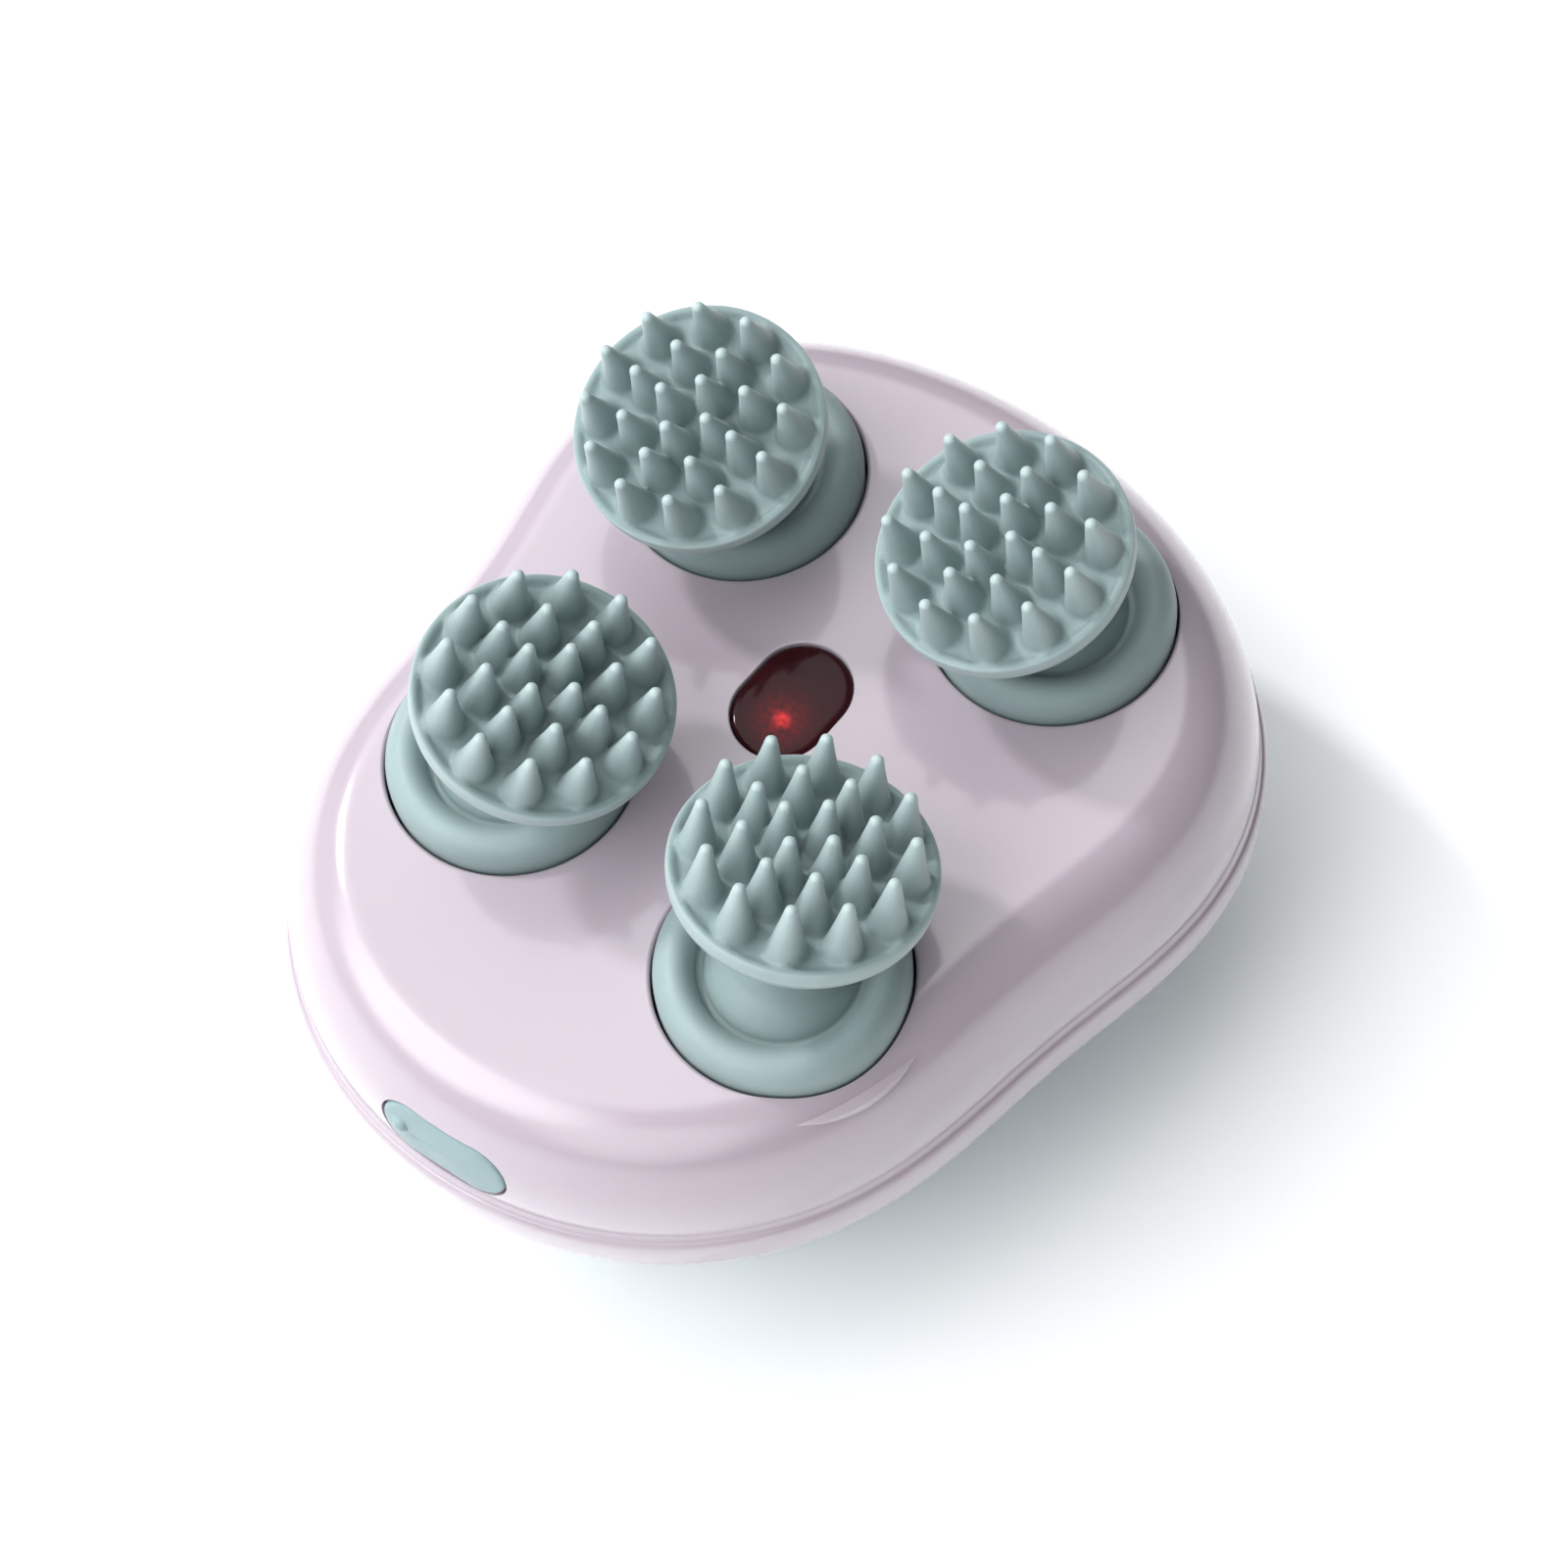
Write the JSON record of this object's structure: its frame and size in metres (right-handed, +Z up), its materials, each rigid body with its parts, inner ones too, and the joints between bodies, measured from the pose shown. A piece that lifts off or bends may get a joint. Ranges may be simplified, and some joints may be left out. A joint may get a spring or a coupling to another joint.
{
  "type": "electric scalp massager",
  "caption": "Palm-sized scalp massager: a bean-shaped two-shell body whose geared drive makes tilted silicone kneading heads wobble, with a light window, a power button and a covered port.",
  "frame": {"origin": "under the middle of the body's bounding box, on the surface that the flat underside rests on", "axes": "+Z up, the way the heads point; -Y towards the charging port; +X across the body"},
  "size_m": [0.096, 0.1139, 0.0764],
  "materials": {
    "upper_shell": "glossy pale lilac-pink moulding",
    "lower_shell": "glossy pale teal moulding",
    "gasket": "thin dark sealing ring",
    "head_silicone": "matte sage silicone with paler cone tips",
    "collar_silicone": "matte sage silicone",
    "acetal": "ivory acetal",
    "screw_steel": "zinc-plated",
    "bush_brass": "turned",
    "shaft_steel": "ground",
    "gearbox_steel": "pressed steel",
    "motor_can": "pressed steel",
    "frame_plastic": "moulded, fine texture",
    "battery_wrap": "shrink wrap",
    "circuit_board": "green solder mask",
    "switch_black": "moulded",
    "button_plastic": "glossy pale teal moulding",
    "socket_steel": "plated",
    "cover_silicone": "satin pale teal silicone",
    "window_lens": "dark red-black translucent window",
    "led_red": "red light"
  },
  "bodies": {
    "housing": {"upper_shell": "upper_shell", "lower_shell": "lower_shell", "seam_gasket": "gasket", "head_collar_1": "collar_silicone", "head_collar_2": "collar_silicone", "head_collar_3": "collar_silicone", "head_collar_4": "collar_silicone", "hub_bush_1": "bush_brass", "hub_bush_2": "bush_brass", "hub_bush_3": "bush_brass", "hub_bush_4": "bush_brass", "gear_reducer": "gearbox_steel", "motor": "motor_can", "gear_plate": "frame_plastic", "bearing_deck": "frame_plastic", "battery": "battery_wrap", "battery_cradle": "frame_plastic", "main_board": "circuit_board", "tact_switch": "switch_black", "charging_board": "circuit_board", "charging_socket": "socket_steel", "window_lens": "window_lens", "led_board": "circuit_board", "led": "led_red", "case_screws": "screw_steel", "deck_screws": "screw_steel", "board_screws": "screw_steel"},
    "drive": {"sun_gear": "acetal", "drive_shaft": "shaft_steel"},
    "hub_1": {"crank_hub_1": "acetal", "crank_screw_1": "screw_steel"},
    "hub_2": {"crank_hub_2": "acetal", "crank_screw_2": "screw_steel"},
    "hub_3": {"crank_hub_3": "acetal", "crank_screw_3": "screw_steel"},
    "hub_4": {"crank_hub_4": "acetal", "crank_screw_4": "screw_steel"},
    "head_1": {"massage_head_1": "head_silicone", "head_core_1": "acetal"},
    "head_2": {"massage_head_2": "head_silicone", "head_core_2": "acetal"},
    "head_3": {"massage_head_3": "head_silicone", "head_core_3": "acetal"},
    "head_4": {"massage_head_4": "head_silicone", "head_core_4": "acetal"},
    "button": {"power_button": "button_plastic", "switch_plunger": "switch_black"},
    "port_flap": {"port_cover": "cover_silicone"}
  },
  "joints": [
    {"name": "drive_spin", "type": "hinge", "parent": "housing", "child": "drive", "pos_m": [0.0015, 0.0048, 0.03], "axis": [0, 0, 1], "continuous": true},
    {"name": "hub_1_spin", "type": "hinge", "parent": "housing", "child": "hub_1", "pos_m": [-0.02199, 0.02472, 0.03], "axis": [0, 0, 1], "continuous": true},
    {"name": "hub_2_spin", "type": "hinge", "parent": "housing", "child": "hub_2", "pos_m": [0.01629, 0.03182, 0.03], "axis": [0, 0, 1], "continuous": true},
    {"name": "hub_3_spin", "type": "hinge", "parent": "housing", "child": "hub_3", "pos_m": [-0.01879, -0.01837, 0.03], "axis": [0, 0, 1], "continuous": true},
    {"name": "hub_4_spin", "type": "hinge", "parent": "housing", "child": "hub_4", "pos_m": [0.02042, -0.0195, 0.03], "axis": [0, 0, 1], "continuous": true},
    {"name": "head_1_turn", "type": "hinge", "parent": "hub_1", "child": "head_1", "pos_m": [-0.02199, 0.02472, 0.044], "axis": [-0.0084, -0.2418, 0.9703], "continuous": true},
    {"name": "head_2_turn", "type": "hinge", "parent": "hub_2", "child": "head_2", "pos_m": [0.01629, 0.03182, 0.044], "axis": [-0.1353, -0.2006, 0.9703], "continuous": true},
    {"name": "head_3_turn", "type": "hinge", "parent": "hub_3", "child": "head_3", "pos_m": [-0.01879, -0.01837, 0.044], "axis": [0.2156, 0.1098, 0.9703], "continuous": true},
    {"name": "head_4_turn", "type": "hinge", "parent": "hub_4", "child": "head_4", "pos_m": [0.02042, -0.0195, 0.044], "axis": [-0.0295, 0.2401, 0.9703], "continuous": true},
    {"name": "button_press", "type": "slide", "parent": "housing", "child": "button", "axis": [0, 0, 1], "range_m": [0, 0.0008], "stiffness_N_per_m": 600},
    {"name": "port_cover_swing", "type": "hinge", "parent": "housing", "child": "port_flap", "pos_m": [0.00968, -0.05378, 0.039], "axis": [-0.0197, 0.1948, 0.9806], "range_deg": [0, 100]}
  ],
  "couplings": [
    {"joint": "hub_1_spin", "follows": "drive_spin", "ratio": -0.87805},
    {"joint": "hub_2_spin", "follows": "drive_spin", "ratio": -0.87805},
    {"joint": "hub_3_spin", "follows": "drive_spin", "ratio": -0.87805},
    {"joint": "hub_4_spin", "follows": "drive_spin", "ratio": -0.87805},
    {"joint": "head_1_turn", "follows": "drive_spin", "ratio": 0.87805},
    {"joint": "head_2_turn", "follows": "drive_spin", "ratio": 0.87805},
    {"joint": "head_3_turn", "follows": "drive_spin", "ratio": 0.87805},
    {"joint": "head_4_turn", "follows": "drive_spin", "ratio": 0.87805}
  ]
}
